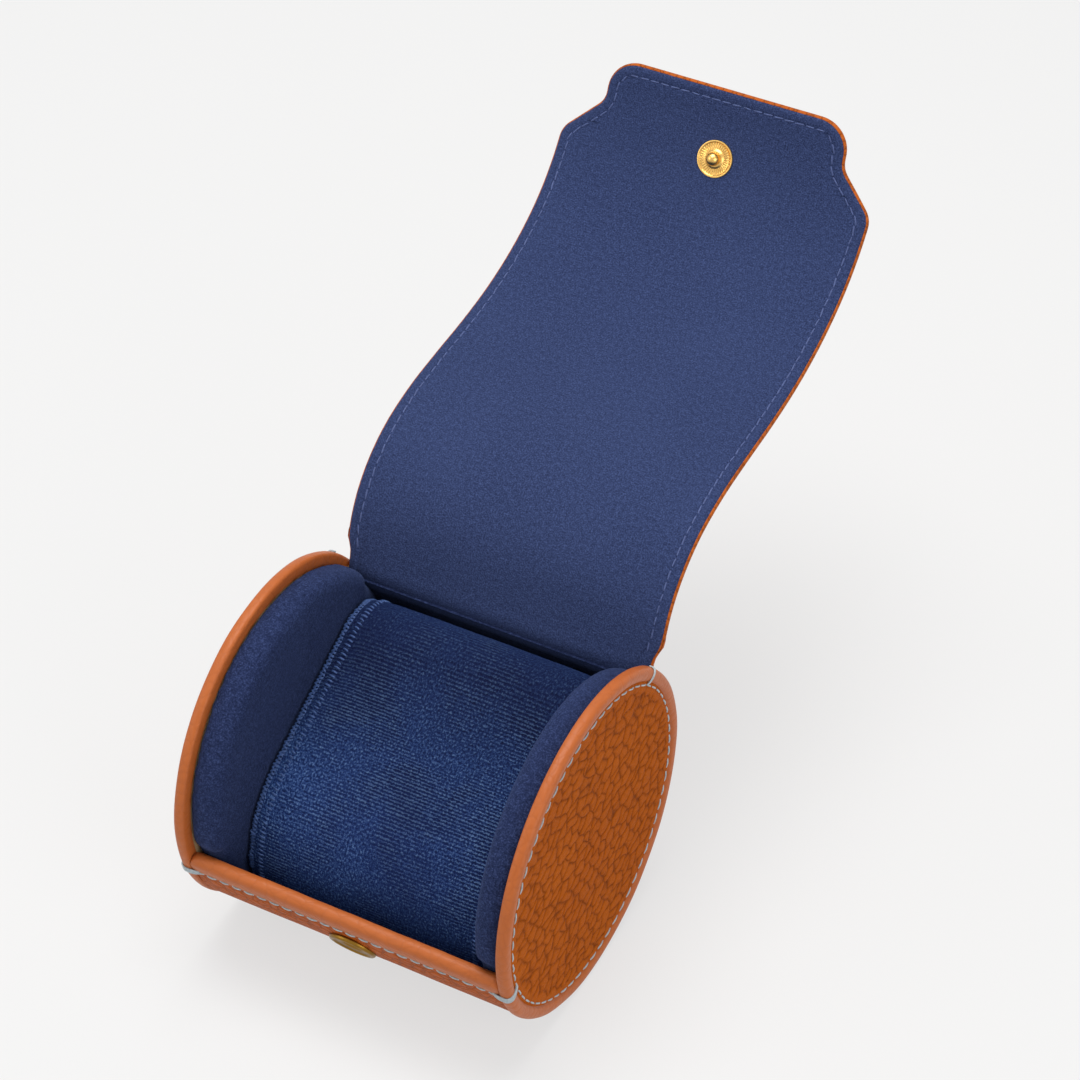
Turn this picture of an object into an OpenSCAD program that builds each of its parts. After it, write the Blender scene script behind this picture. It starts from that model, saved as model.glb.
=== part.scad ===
// Round travel case: a drum that lies on its side, with padded ends, a lift-out
// cushion and a wrap-over flap that closes on the front with a snap.
// X runs along the drum, +Y is the back, +Z is up, and z = 0 is the table.
// Angles around the drum count from straight back (+Y) over the top (+Z).

/* [Drum] */
// Outer radius of the end caps
rim_r = 43; // [36:0.5:55]
// Length over both end caps
case_l = 88; // [80:1:110]
// How far the drum leather lies below the end caps' rims
leather_step = 0.4; // [0.2:0.1:1]
// Thickness of the drum's outer leather
leather_t = 1.2; // [0.9:0.1:1.6]
// Thickness of the board that stiffens the drum
board_t = 1.6; // [1.2:0.1:2.4]
// Thickness of the lining inside the drum
lining_t = 0.7; // [0.5:0.1:1.2]
// Angle of the front lip around the drum
lip_a = 194; // [188:1:200]
// Angle of the hinge line around the drum
hinge_a = 40; // [34:1:46]
// Angle from the drum wall's back edge to the hinge line
wall_back_a = 3; // [2:0.5:5]

/* [Front lip] */
// How far the rolled lip stands past the drum's leather
lip_over = 0.3; // [0:0.05:0.35]
// Distance of the lip's thread line from the lip's flat
lip_stitch_in = 3.4; // [2.5:0.1:5]
// Distance between two stitches of the lip
lip_stitch_pitch = 3.4; // [3:0.1:5]
// Distance of the lip's outer stitches from the drum's ends
lip_stitch_end = 1.5; // [1:0.5:8]

/* [End caps] */
// Thickness of an end cap
cap_t = 3; // [2.6:0.1:4]
// Width of the rolled leather rim around an end cap
rim_w = 3.2; // [2.6:0.1:4]
// Rounding of the rolled rim
rim_round = 1.2; // [0.6:0.1:1.3]
// Thickness of an end cap's leather
cap_leather_t = 1.2; // [0.9:0.1:1.5]
// How far an end cap's leather lies below its rim
cap_leather_step = 0.5; // [0.4:0.1:0.8]
// Distance of the thread ring from the rim's outside
ring_in = 4.2; // [4:0.1:8]
// Distance between two stitches of the thread ring
ring_pitch = 3.8; // [3:0.1:5]

/* [Thread] */
// Length of one stitch
stitch_l = 2.3; // [1.5:0.1:2.7]
// Width of the thread
stitch_w = 0.6; // [0.4:0.1:0.8]
// How far a stitch stands out of the leather
stitch_h = 0.35; // [0.2:0.05:0.38]

/* [End pads] */
// Thickness of an end pad
pad_t = 7.7; // [5:0.1:10]
// Thickness of the cloth around an end pad
pad_skin_t = 0.8; // [0.5:0.1:1.2]
// Rounding of an end pad's edge
pad_round = 3; // [2:0.5:4]
// How far the pads swell past the drum's inner wall in the mouth
pad_rise = 1.5; // [0.5:0.1:2]

/* [Cushion] */
// Height of the cushion's top above the drum's axis, towards the mouth
cushion_top = 13; // [8:0.5:18]
// Rounding of the cushion's front shoulder
cushion_front_r = 24; // [16:1:28]
// Rounding of the cushion's back shoulder
cushion_back_r = 18; // [12:1:22]
// Clearance between the cushion and what is around it
cushion_gap = 0.3; // [0.3:0.05:0.6]
// Clearance between the cushion and the mouth's edges as it lifts out
cushion_side_gap = 1; // [0.5:0.1:3]
// Thickness of the cushion's plush cover
cover_t = 1.2; // [0.8:0.1:2]
// Width of an overlocked seam
seam_w = 1.2; // [0.8:0.1:2]
// How far an end panel's edge lies inside the cover
panel_in = 1; // [0.5:0.1:2]
// Thickness of an end panel
panel_t = 0.8; // [0.5:0.1:1.2]

/* [Flap] */
// Width of the flap
flap_w = 84.8; // [76:0.2:86]
// Thickness of the flap's leather
flap_leather_t = 1.5; // [1.2:0.1:1.8]
// Thickness of the flap's padded lining
flap_lining_t = 1.3; // [1:0.1:1.6]
// Width of the turned leather edge beside the lining
flap_edge = 1.1; // [0.8:0.1:2]
// Clearance between the rims and the closed flap at its bends
flap_gap = 1.3; // [1.2:0.1:2]
// Length from the last bend to the tip of the tab
tip_l = 10.6; // [9:0.1:12]
// Clearance inside a bend
bend_gap = 0.3; // [0.28:0.02:0.4]
// Width of the tab
tab_w = 65; // [56:1:70]
// Length of the tab from its root to its tip
tab_l = 11.2; // [10:0.1:15]
// Rounding of the tab's corners
tab_round = 8; // [3:0.1:9]
// Rounding of the flap's shoulders
shoulder_round = 6; // [3:0.5:8]

/* [Snap] */
// Angle of the snap around the drum
socket_a = 209.8; // [206:0.1:213]
// Radius of the socket
socket_r = 6; // [5.5:0.1:7]
// Height of the socket's rim above its seat
socket_h = 1.4; // [1.2:0.05:1.45]
// Depth of the dish in the socket below its rim
socket_dish = 0.5; // [0.4:0.05:0.8]
// Depth of the socket's flat seat in the leather
socket_seat = 0.5; // [0.45:0.05:0.6]
// Outer radius of the socket's barrel
barrel_r = 3.2; // [3:0.1:3.6]
// Wall of the socket's barrel
barrel_wall = 0.4; // [0.3:0.05:0.5]
// Radius of the wire of the socket's ring spring
spring_wire_r = 0.28; // [0.2:0.02:0.3]
// Radius of the eyelet that clinches the socket
eyelet_r = 4.5; // [4:0.1:5]
// Thickness of the eyelet
eyelet_t = 0.5; // [0.4:0.05:0.6]
// Radius of the stud's plate
stud_r = 4.7; // [4.2:0.1:4.8]
// Thickness of the stud's plate at its rim
stud_rim_t = 0.45; // [0.4:0.05:0.5]
// Radius of the stud's ball
ball_r = 1.75; // [1.5:0.05:1.85]
// Radius of the stud's neck
neck_r = 1.35; // [1:0.05:1.4]
// How far the ball reaches out of the lining
ball_reach = 3.2; // [3:0.1:3.3]
// Clearance of the ball in the socket
snap_gap = 0.4; // [0.3:0.05:0.45]
// Radius of the brass cap on the flap's outside
button_r = 6.2; // [5.5:0.1:7]
// Height of the brass cap
button_h = 1.3; // [1:0.1:1.6]
// Radius of the cap's stem
stem_r = 1.5; // [1.2:0.1:1.8]

/* [Hidden] */
$fn = 96;

// Direction of each stretch of the open flap, from straight back (0) to straight up (90)
open_dir = [67, 40, 17, 6, 4, 9, 18, 29, 45, 61, 74];
segs = len(open_dir);
// The stretch that carries the snap's stud
snap_seg = 9;

leather_r = rim_r - leather_step;
board_r = leather_r - leather_t;
lining_r = board_r - board_t;
inner_r = lining_r - lining_t;
wall_t = leather_r - inner_r;
wall_back = hinge_a - wall_back_a;
half_l = case_l / 2;
wall_l = case_l - 2 * cap_t;

cap_r = rim_r - rim_w;
cap_board_t = cap_t - cap_leather_step - cap_leather_t;
cap_face = half_l - cap_leather_step;
ring_r = rim_r - ring_in;

flap_t = flap_leather_t + flap_lining_t;
bend_r = rim_r + flap_gap + flap_t / 2;
// The closed flap turns by this at each bend, so that its stud comes over the socket
wrap_step = (socket_a - hinge_a) / (snap_seg + 0.5);
seg_l = 2 * bend_r * sin(wrap_step / 2);
closed_face = bend_r * cos(wrap_step / 2) - flap_t / 2;
cup_r = flap_t / 2 + bend_gap;
flap_l = (segs - 1) * seg_l + tip_l;
tab_root = flap_l - tab_l;
shoulder_s = tab_root - (flap_w - tab_w) / 2;

seat_r = leather_r - socket_seat;
hole_r = ball_r + snap_gap;
barrel_deep = seat_r - lining_r - eyelet_t;
plate_t = 0.25;
// How much further a cutting shape reaches than what it cuts
cut = 1;
// Angle that the swollen edge of a pad stays back from the lip's flat
lip_clear_a = 5;

mouth_a = (lip_a + hinge_a) / 2;
pad_face = half_l - cap_t - pad_t;
cushion_r = inner_r - cushion_gap;
cushion_half = sin(lip_a - mouth_a) * inner_r - cushion_side_gap;
cushion_end = pad_face - cushion_gap;
seam_end = cushion_end - panel_t;
cover_end = seam_end - seam_w;

function polar(r, a) = [r * cos(a), r * sin(a)];
// Where bend k of the open flap lies, in the (y, z) plane of the drum's axis
function bend_at(k) = k == 0 ? polar(bend_r, hinge_a) : bend_at(k - 1) + polar(seg_l, open_dir[k - 1]);

// ---- helpers ----

// Puts what is drawn around the X axis on the drum's axis
module on_axis() {
    translate([0, 0, rim_r]) children();
}

// Extrudes a (y, z) outline along X, centred
module along_x(length) {
    rotate([90, 0, 90]) linear_extrude(length, center = true) children();
}

// Stands an end cap or pad on its inner face, at x = from, on the side given (-1 left, 1 right)
module at_end(side, from) {
    on_axis() rotate([0, side * 90, 0]) translate([0, 0, from]) children();
}

// Moves a piece that is drawn along Z out to radius r at angle a around the drum
module radial(a, r) {
    on_axis() rotate([a - 90, 0, 0]) translate([0, 0, r]) children();
}

// A wedge between two angles, with its point on the axis
module sector(from, to, r) {
    steps = ceil((to - from) / 30);
    polygon(concat([[0, 0]], [for (i = [0:steps]) polar(r, from + (to - from) * i / steps)]));
}

// One layer of the drum's wall, from the lip under the drum to the hinge
module wall_layer(outer, inner) {
    on_axis() along_x(wall_l) intersection() {
        difference() {
            circle(outer);
            circle(inner);
        }
        sector(lip_a, 360 + wall_back, 2 * rim_r);
    }
}

// A rectangle from (0, 0) to (w, h) with its two upper corners rounded
module round_topped(w, h, r) {
    square([w, h - r]);
    translate([r, 0]) square([w - 2 * r, h]);
    for (x = [r, w - r]) translate([x, h - r]) circle(r);
}

// ---- drum ----

module drum_leather() {
    color("chocolate") difference() {
        wall_layer(leather_r, board_r);
        radial(socket_a, seat_r) cylinder(h = cut + socket_seat, r = socket_r);
        radial(socket_a, lining_r) cylinder(h = wall_t, r = barrel_r);
    }
}

module drum_board() {
    color("tan") difference() {
        wall_layer(board_r, lining_r);
        radial(socket_a, lining_r - cut) cylinder(h = wall_t, r = barrel_r);
        radial(socket_a, lining_r - cut) cylinder(h = cut + eyelet_t, r = eyelet_r);
    }
}

module drum_lining() {
    color("midnightblue") wall_layer(lining_r, inner_r);
}

// The rolled leather lip, a half-round bead on the wall's front edge
module front_lip() {
    bead_r = (wall_t + lip_over) / 2;
    color("peru") on_axis() along_x(wall_l) rotate(lip_a) intersection() {
        translate([inner_r + bead_r, 0]) circle(bead_r, $fn = 48);
        translate([inner_r - cut, -wall_t]) square([wall_t + 2 * cut, wall_t]);
    }
}

module lip_stitches() {
    span = wall_l - 2 * lip_stitch_end;
    count = floor(span / lip_stitch_pitch);
    first = -(count - 1) / 2 * lip_stitch_pitch;
    a = lip_a + lip_stitch_in / leather_r * 180 / PI;
    color("lightblue") for (i = [0:count - 1]) {
        radial(a, leather_r + 0.01) translate([first + i * lip_stitch_pitch - stitch_l / 2, -stitch_w / 2, 0])
            cube([stitch_l, stitch_w, stitch_h]);
    }
}

// The fold of leather that carries the flap: a neck on the wall's back edge and a bead in the first bend
module hinge_strip() {
    bead = bend_at(0);
    color("sienna") on_axis() {
        along_x(flap_w) translate(bead) circle(flap_t / 2, $fn = 48);
        along_x(wall_l) polygon([
            polar(lining_r, wall_back),
            polar(leather_r, wall_back),
            bead + polar(flap_t / 2, hinge_a - 80),
            bead,
            bead + polar(flap_t / 2, hinge_a + 172)
        ]);
    }
}

// ---- end caps ----

module rim(side) {
    color("peru") at_end(side, half_l - cap_t) rotate_extrude($fn = 128)
        translate([cap_r, 0]) round_topped(rim_w, cap_t, rim_round);
}

module cap_board(side) {
    color("tan") at_end(side, half_l - cap_t) cylinder(h = cap_board_t, r = cap_r, $fn = 128);
}

module cap_leather(side) {
    color("chocolate") at_end(side, cap_face - cap_leather_t) cylinder(h = cap_leather_t, r = cap_r, $fn = 128);
}

module ring_stitches(side) {
    count = round(2 * PI * ring_r / ring_pitch);
    color("lightblue") for (i = [0:count - 1]) {
        at_end(side, cap_face) rotate(360 * i / count) translate([ring_r - stitch_w / 2, -stitch_l / 2, 0])
            cube([stitch_w, stitch_l, stitch_h]);
    }
}

// ---- end pads ----

// Half the section of a pad as it is turned around the axis, smaller all round by inset
module pad_profile(r, inset) {
    height = pad_t - inset;
    radius = r - inset;
    round = pad_round - inset;
    square([radius, height - round]);
    square([radius - round, height]);
    translate([radius - round, height - round]) circle(round, $fn = 48);
}

// A pad fills the drum, and swells past the wall's inner face in the open mouth
module pad_body(inset) {
    inset_a = inset / inner_r * 180 / PI;
    rotate_extrude($fn = 128) pad_profile(inner_r, inset);
    intersection() {
        rotate_extrude($fn = 128) pad_profile(inner_r + pad_rise, inset);
        linear_extrude(pad_t) sector(hinge_a + inset_a, lip_a - lip_clear_a - inset_a, 2 * rim_r);
    }
}

// Stands a pad on an end cap's inner face, with its own angles those of the drum
module pad_at(side) {
    on_axis() mirror([side > 0 ? 1 : 0, 0, 0]) translate([cap_t - half_l, 0, 0])
        rotate([90, 0, 90]) children();
}

module pad_foam(side) {
    color("slategray") pad_at(side) pad_body(pad_skin_t);
}

module pad_cover(side) {
    color("darkslateblue") pad_at(side) difference() {
        pad_body(0);
        pad_body(pad_skin_t);
    }
}

// ---- cushion ----

// Section of the cushion in the (y, z) plane, smaller all round by inset
module cushion_section(inset) {
    low = cushion_top - cushion_front_r;
    high = cushion_top - cushion_back_r;
    left = -cushion_half + cushion_front_r;
    right = cushion_half - cushion_back_r;
    rotate(mouth_a - 90) intersection() {
        circle(cushion_r - inset);
        union() {
            translate([left, low]) circle(cushion_front_r - inset);
            translate([right, high]) circle(cushion_back_r - inset);
            translate([inset - cushion_half, -rim_r]) square([2 * (cushion_half - inset), rim_r + low]);
            translate([left, low - cut]) square([cushion_half - inset - left, high - low + cut]);
            translate([left, low - cut]) square([right - left, cushion_top - inset - low + cut]);
        }
    }
}

module cushion_foam() {
    color("gray") on_axis() {
        along_x(2 * cover_end) cushion_section(cover_t);
        along_x(2 * seam_end) cushion_section(cover_t + panel_in);
    }
}

module cushion_cover() {
    color("navy") on_axis() along_x(2 * cover_end) difference() {
        cushion_section(0);
        cushion_section(cover_t);
    }
}

module cushion_seams() {
    color("royalblue") on_axis() for (side = [-1, 1]) {
        translate([side * (cover_end + seam_end) / 2, 0, 0]) along_x(seam_w) difference() {
            cushion_section(0);
            cushion_section(cover_t + panel_in);
        }
    }
}

module cushion_panel(side) {
    color("navy") on_axis() translate([side * (seam_end + cushion_end) / 2, 0, 0])
        along_x(panel_t) cushion_section(panel_in);
}

// ---- flap ----

// Draws in the frame of stretch k of the open flap: Y runs along it from its bend, +Z is the lining side
module on_stretch(k) {
    on_axis() translate([0, bend_at(k)[0], bend_at(k)[1]]) rotate([open_dir[k], 0, 0]) children();
}

// Points of a quarter or eighth of a circle, from angle 0 to angle to
function arc(x, y, r, to) = [for (i = [0:4]) [x + r * cos(to * i / 4), y + r * sin(to * i / 4)]];

// The right half of the whole flap's outline laid flat, X across and Y along from the hinge
function half_outline(inset) = let(
    half = flap_w / 2 - inset,
    tab = tab_w / 2 - inset,
    reach = flap_l - inset,
    shoulder = max(shoulder_round - inset, 1),
    corner = max(tab_round - inset, 1),
    slope = shoulder_s - shoulder_round * tan(22.5)
) concat(
    [[half, -seg_l]],
    arc(half - shoulder, slope, shoulder, 45),
    [[tab, tab_root - inset * tan(22.5)]],
    arc(tab - corner, reach - corner, corner, 90)
);

// The whole flap laid flat, smaller all round by inset
module flap_outline(inset) {
    right = half_outline(inset);
    last = len(right) - 1;
    polygon(concat(right, [for (i = [0:last]) [-right[last - i][0], right[last - i][1]]]));
}

// Side view of stretch k: a cup around the bead before it, and a bead for the cup after it
module stretch_profile(k) {
    last = k == segs - 1;
    difference() {
        union() {
            translate([0, -flap_t / 2]) square([last ? tip_l : seg_l, flap_t]);
            if (!last) translate([seg_l, 0]) circle(flap_t / 2, $fn = 48);
        }
        circle(cup_r, $fn = 48);
    }
}

// Stretch k at full width and thickness, cut to the flap's outline
module stretch_blank(k) {
    if (k < snap_seg - 1) {
        along_x(flap_w) stretch_profile(k);
    } else {
        intersection() {
            along_x(flap_w) stretch_profile(k);
            translate([0, -k * seg_l, -flap_t]) linear_extrude(2 * flap_t) flap_outline(0);
        }
    }
}

// The space inside the turned edge that the lining fills
module lining_pocket(k) {
    floor_z = flap_leather_t - flap_t / 2;
    if (k < snap_seg - 1) {
        translate([flap_edge - flap_w / 2, -seg_l, floor_z]) cube([flap_w - 2 * flap_edge, 3 * seg_l, flap_t]);
    } else {
        translate([0, -k * seg_l, floor_z]) linear_extrude(flap_t) flap_outline(flap_edge);
    }
}

module stem_hole(k) {
    if (k == snap_seg) translate([0, seg_l / 2, -flap_t]) cylinder(h = 2 * flap_t, r = stem_r, $fn = 48);
}

module flap_leather(k) {
    color("chocolate") on_stretch(k) difference() {
        stretch_blank(k);
        lining_pocket(k);
        stem_hole(k);
    }
}

module flap_lining(k) {
    color("darkslateblue") on_stretch(k) difference() {
        intersection() {
            stretch_blank(k);
            lining_pocket(k);
        }
        stem_hole(k);
    }
}

// ---- snap ----

module socket() {
    dish_r = stud_r + snap_gap / 2;
    color("goldenrod") radial(socket_a, seat_r) difference() {
        union() {
            rotate_extrude($fn = 64) round_topped_disc(socket_r, socket_h, socket_h / 2);
            translate([0, 0, -barrel_deep]) cylinder(h = barrel_deep + socket_h / 4, r = barrel_r, $fn = 64);
        }
        translate([0, 0, socket_h - socket_dish]) cylinder(h = cut, r = dish_r, $fn = 64);
        translate([0, 0, -barrel_deep - cut]) cylinder(h = cut + barrel_deep, r = barrel_r - barrel_wall, $fn = 64);
        cylinder(h = 2 * socket_h, r = hole_r, $fn = 64);
    }
}

// Half the section of a disc whose upper edge is rounded
module round_topped_disc(r, h, round) {
    square([r, h - round]);
    square([r - round, h]);
    translate([r - round, h - round]) circle(round, $fn = 48);
}

// The split ring that grips the ball, in the barrel just under the socket's mouth
module socket_spring() {
    mid_r = barrel_r - barrel_wall - spring_wire_r - 0.05;
    color("silver") radial(socket_a, seat_r - spring_wire_r - 0.02) rotate_extrude($fn = 64)
        translate([mid_r, 0]) circle(spring_wire_r, $fn = 24);
}

module socket_eyelet() {
    color("darkgoldenrod") radial(socket_a, lining_r) cylinder(h = eyelet_t, r = eyelet_r, $fn = 64);
}

module stud() {
    ball_z = ball_reach - ball_r;
    color("gold") on_stretch(snap_seg) translate([0, seg_l / 2, flap_t / 2]) {
        cylinder(h = plate_t, r = stud_r, $fn = 64);
        rotate_extrude($fn = 64) translate([stud_r - 2 * plate_t, 0]) square([2 * plate_t, stud_rim_t]);
        cylinder(h = ball_z, r = neck_r, $fn = 48);
        intersection() {
            translate([0, 0, ball_z]) sphere(ball_r, $fn = 48);
            cylinder(h = ball_reach + cut, r = stud_r, $fn = 64);
        }
    }
}

// The domed brass cap on the flap's outside, with the stem that holds the stud
module stud_button() {
    dome_r = (button_r * button_r + button_h * button_h) / (2 * button_h);
    color("goldenrod") on_stretch(snap_seg) translate([0, seg_l / 2, -flap_t / 2]) {
        intersection() {
            translate([0, 0, dome_r - button_h]) sphere(dome_r, $fn = 128);
            translate([0, 0, -button_h]) cylinder(h = button_h, r = button_r, $fn = 64);
        }
        cylinder(h = flap_t, r = stem_r, $fn = 48);
    }
}

// ---- the case ----

drum_leather();
drum_board();
drum_lining();
front_lip();
lip_stitches();
hinge_strip();
rim(-1);  // left_rim
rim(1);  // right_rim
cap_leather(-1);  // left_cap_leather
cap_leather(1);  // right_cap_leather
cap_board(-1);  // left_cap_board
cap_board(1);  // right_cap_board
ring_stitches(-1);  // left_ring_stitches
ring_stitches(1);  // right_ring_stitches
pad_foam(-1);  // left_pad_foam
pad_foam(1);  // right_pad_foam
pad_cover(-1);  // left_pad_cover
pad_cover(1);  // right_pad_cover
socket();
socket_spring();
socket_eyelet();
cushion_foam();
cushion_cover();
cushion_seams();
cushion_panel(-1);  // cushion_left_panel
cushion_panel(1);  // cushion_right_panel
for (k = [0:segs - 1]) flap_leather(k);
for (k = [0:segs - 1]) flap_lining(k);
stud();
stud_button();
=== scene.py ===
# %% [markdown]
# # A round travel case in soft leather
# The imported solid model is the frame: it says where every piece is and how the flap moves.
# This lesson dresses that frame. Each step makes one real piece of the case, in metres,
# where the frame has it, and gives it the finish of its own material.

# %% Load the frame
import math

import bmesh
import bpy
import numpy as np
from mathutils import Matrix, Vector
from mathutils.bvhtree import BVHTree


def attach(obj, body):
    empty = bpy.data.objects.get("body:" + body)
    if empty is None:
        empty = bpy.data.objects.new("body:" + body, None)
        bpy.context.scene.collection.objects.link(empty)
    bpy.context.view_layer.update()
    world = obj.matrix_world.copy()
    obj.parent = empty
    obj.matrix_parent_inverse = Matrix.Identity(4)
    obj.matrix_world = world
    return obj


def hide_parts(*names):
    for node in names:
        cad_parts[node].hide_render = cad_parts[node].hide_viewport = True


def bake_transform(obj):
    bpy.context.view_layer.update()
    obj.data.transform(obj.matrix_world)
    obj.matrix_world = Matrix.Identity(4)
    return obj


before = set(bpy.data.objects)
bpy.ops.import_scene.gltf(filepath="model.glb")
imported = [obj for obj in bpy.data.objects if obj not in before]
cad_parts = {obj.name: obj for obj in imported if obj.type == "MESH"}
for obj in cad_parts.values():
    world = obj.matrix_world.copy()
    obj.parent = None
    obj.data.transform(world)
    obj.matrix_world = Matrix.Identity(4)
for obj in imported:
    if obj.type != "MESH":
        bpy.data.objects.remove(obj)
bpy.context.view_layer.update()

# %% [markdown]
# All sizes below are in millimetres around the drum's axis, because that is how a case maker
# thinks of them. One helper turns them into metres. Angles count from the back (+Y) over the
# top (+Z), as they do in the solid model.

# %% Sizes of the case
RIM_R = 43.0                # outside of the rolled rims
LEATHER_R = 42.6            # outside of the wall
INNER_R = 39.1              # inside of the wall
WALL_HALF = 41.0            # half of the wall's length
LIP_A = 194.0               # angle of the front lip
WALL_BACK_A = 397.0         # angle at which the wall ends, by the hinge
SNAP_A = 209.8              # angle of the snap
PAD_FACE = 33.3             # the pads' faces, out from the middle
SEW_RING_R = 38.8           # ring of stitches on each cap


def polar(r, a):
    return r * math.cos(math.radians(a)), r * math.sin(math.radians(a))


def to_frame(points):
    """Millimetres around the drum's axis to metres in the frame."""
    out = np.array(points, float) * 0.001
    out[..., 2] += RIM_R * 0.001
    return out


# %% [markdown]
# A grid of points gives full control over leather and cloth, so most pieces
# start as one. The helpers close the grid where it runs round, fill its ends and check that
# all faces look outwards.

# %% Helpers that make a mesh
def grid_faces(rows, cols, wrap_rows=False, wrap_cols=False, start=0):
    faces = []
    for i in range(rows if wrap_rows else rows - 1):
        for j in range(cols if wrap_cols else cols - 1):
            a, b = i * cols + j, i * cols + (j + 1) % cols
            c, d = ((i + 1) % rows) * cols + (j + 1) % cols, ((i + 1) % rows) * cols + j
            faces.append((start + a, start + b, start + c, start + d))
    return faces


def tube_faces(rows, cols):
    """Faces of a tube whose rows run round it, with both of its ends filled."""
    ends = [tuple(range(cols)), tuple((rows - 1) * cols + j for j in range(cols))]
    return grid_faces(rows, cols, wrap_cols=True) + ends


def turned_faces(rows, cols):
    """Faces of a turned solid whose rows run along its section, filled at its first and last points."""
    return grid_faces(rows, cols, wrap_rows=True) + [tuple(i * cols + j for i in range(rows)) for j in (0, cols - 1)]


def sheet_faces(rows, cols):
    """Faces of two equal grids, one over the other, joined all round."""
    size, last = rows * cols, (rows - 1) * cols
    edges = [(row + j, row + j + 1) for j in range(cols - 1) for row in (0, last)]
    edges += [(i * cols + side, (i + 1) * cols + side) for i in range(rows - 1) for side in (0, cols - 1)]
    joins = [(a, b, size + b, size + a) for a, b in edges]
    return grid_faces(rows, cols) + grid_faces(rows, cols, start=size) + joins


def add_object(name, data):
    made = bpy.data.objects.new(name, data)
    bpy.context.scene.collection.objects.link(made)
    return made


def outward(mesh, weld=False):
    """Turns all faces outwards. Welding first joins the points that meet, so the shell is closed."""
    bm = bmesh.new()
    bm.from_mesh(mesh)
    if weld:
        bmesh.ops.remove_doubles(bm, verts=bm.verts, dist=2e-6)
        bmesh.ops.dissolve_degenerate(bm, edges=bm.edges, dist=1e-6)
    bmesh.ops.recalc_face_normals(bm, faces=bm.faces)
    if not weld and bm.calc_volume(signed=True) < 0:
        bmesh.ops.reverse_faces(bm, faces=bm.faces)
    bm.to_mesh(mesh)
    bm.free()


def map_cloth(mesh, flat):
    """Gives a mesh its cloth map: one flat place for each of its points."""
    corners = np.zeros(len(mesh.loops), np.int32)
    mesh.loops.foreach_get("vertex_index", corners)
    mesh.uv_layers.new(name="flat").data.foreach_set("uv", np.asarray(flat, np.float32)[corners].ravel())


def make_piece(name, verts, faces, material, slot, sharp=50):
    mesh = bpy.data.meshes.new(name)
    mesh.from_pydata([tuple(v) for v in verts], [], faces)
    mesh.validate()
    piece = add_object(name, mesh)
    outward(mesh)
    mesh.polygons.foreach_set("use_smooth", [True] * len(mesh.polygons))
    mesh.set_sharp_from_angle(angle=math.radians(sharp))
    mesh.materials.append(material)
    return piece


def baked(piece):
    """The plain mesh that a piece's modifiers make. The modifiers come off."""
    made = bpy.data.meshes.new_from_object(piece.evaluated_get(bpy.context.evaluated_depsgraph_get()))
    piece.modifiers.clear()
    return made


def fit(piece, body, *nodes):
    """The piece rides on a body, and stands for the frame's nodes that are named."""
    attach(piece, body)
    if nodes:
        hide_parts(*nodes)
    size = tuple(round(d * 1000, 1) for d in piece.dimensions)
    print(f"{piece.name}: {len(piece.data.polygons)} faces, {size} mm")


def smoothstep(a, b, x):
    t = np.clip((x - a) / (b - a), 0, 1)
    return t * t * (3 - 2 * t)


def dip(x, width):
    """A soft bell, 1 where x is 0."""
    return np.exp(-((x / width) ** 2))


# %% Helpers that make node trees
class Bench:
    """Adds nodes to a tree. An input that is another node's output is linked, any other is set."""

    def __init__(self, tree):
        self.tree = tree

    def feed(self, node, inputs):
        for key, value in dict(inputs).items():
            if hasattr(value, "is_output"):
                self.tree.links.new(value, node.inputs[key])
            else:
                node.inputs[key].default_value = value

    def node(self, kind, inputs=(), **settings):
        made = self.tree.nodes.new(kind)
        for key, value in settings.items():
            setattr(made, key, value)
        self.feed(made, inputs)
        return made

    def math(self, operation, a, b, clamp=False):
        return self.node("ShaderNodeMath", {0: a, 1: b}, operation=operation, use_clamp=clamp).outputs[0]

    def times(self, a, b, clamp=False):
        return self.math("MULTIPLY", a, b, clamp)

    def plus(self, a, b):
        return self.math("ADD", a, b)


class Recipe(Bench):
    """A material built step by step on object places, or on the cloth map, in metres."""

    def __init__(self, name, on_cloth=False):
        self.material = bpy.data.materials.new(name)
        self.material.use_nodes = True
        super().__init__(self.material.node_tree)
        if on_cloth:
            self.place = self.node("ShaderNodeUVMap", uv_map="flat").outputs["UV"]
        else:
            self.place = self.node("ShaderNodeTexCoord").outputs["Object"]

    def noise(self, scale, detail=3, rough=0.5, vector=None):
        inputs = {"Vector": vector or self.place, "Scale": scale, "Detail": detail, "Roughness": rough}
        return self.node("ShaderNodeTexNoise", inputs).outputs["Fac"]

    def ramp(self, value, stops):
        made = self.node("ShaderNodeValToRGB", {"Fac": value})
        elements = made.color_ramp.elements
        for element, (position, colour) in zip(elements, (stops[0], stops[-1])):
            element.position, element.color = position, colour
        for position, colour in stops[1:-1]:
            elements.new(position).color = colour
        return made.outputs["Color"]

    def mix(self, factor, a, b):
        return self.node("ShaderNodeMix", {0: factor, 6: a, 7: b}, data_type="RGBA").outputs[2]

    def bump(self, height, distance, strength=1.0):
        inputs = {"Height": height, "Distance": distance, "Strength": strength}
        return self.node("ShaderNodeBump", inputs).outputs["Normal"]

    def finish(self, colour, normal, rough, **constants):
        constants = {key.replace("_", " "): value for key, value in constants.items()}
        inputs = {"Base Color": colour, "Normal": normal, "Roughness": rough, **constants}
        self.feed(self.tree.nodes["Principled BSDF"], inputs)
        return self.material


def shade(r, g, b):
    """A colour as a screen shows it, 0 to 255, as the renderer's linear one."""
    return tuple((c / 255 / 12.92) if c <= 10 else ((c / 255 + 0.055) / 1.055) ** 2.4 for c in (r, g, b)) + (1.0,)


def grey(v):
    return v, v, v, 1


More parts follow.
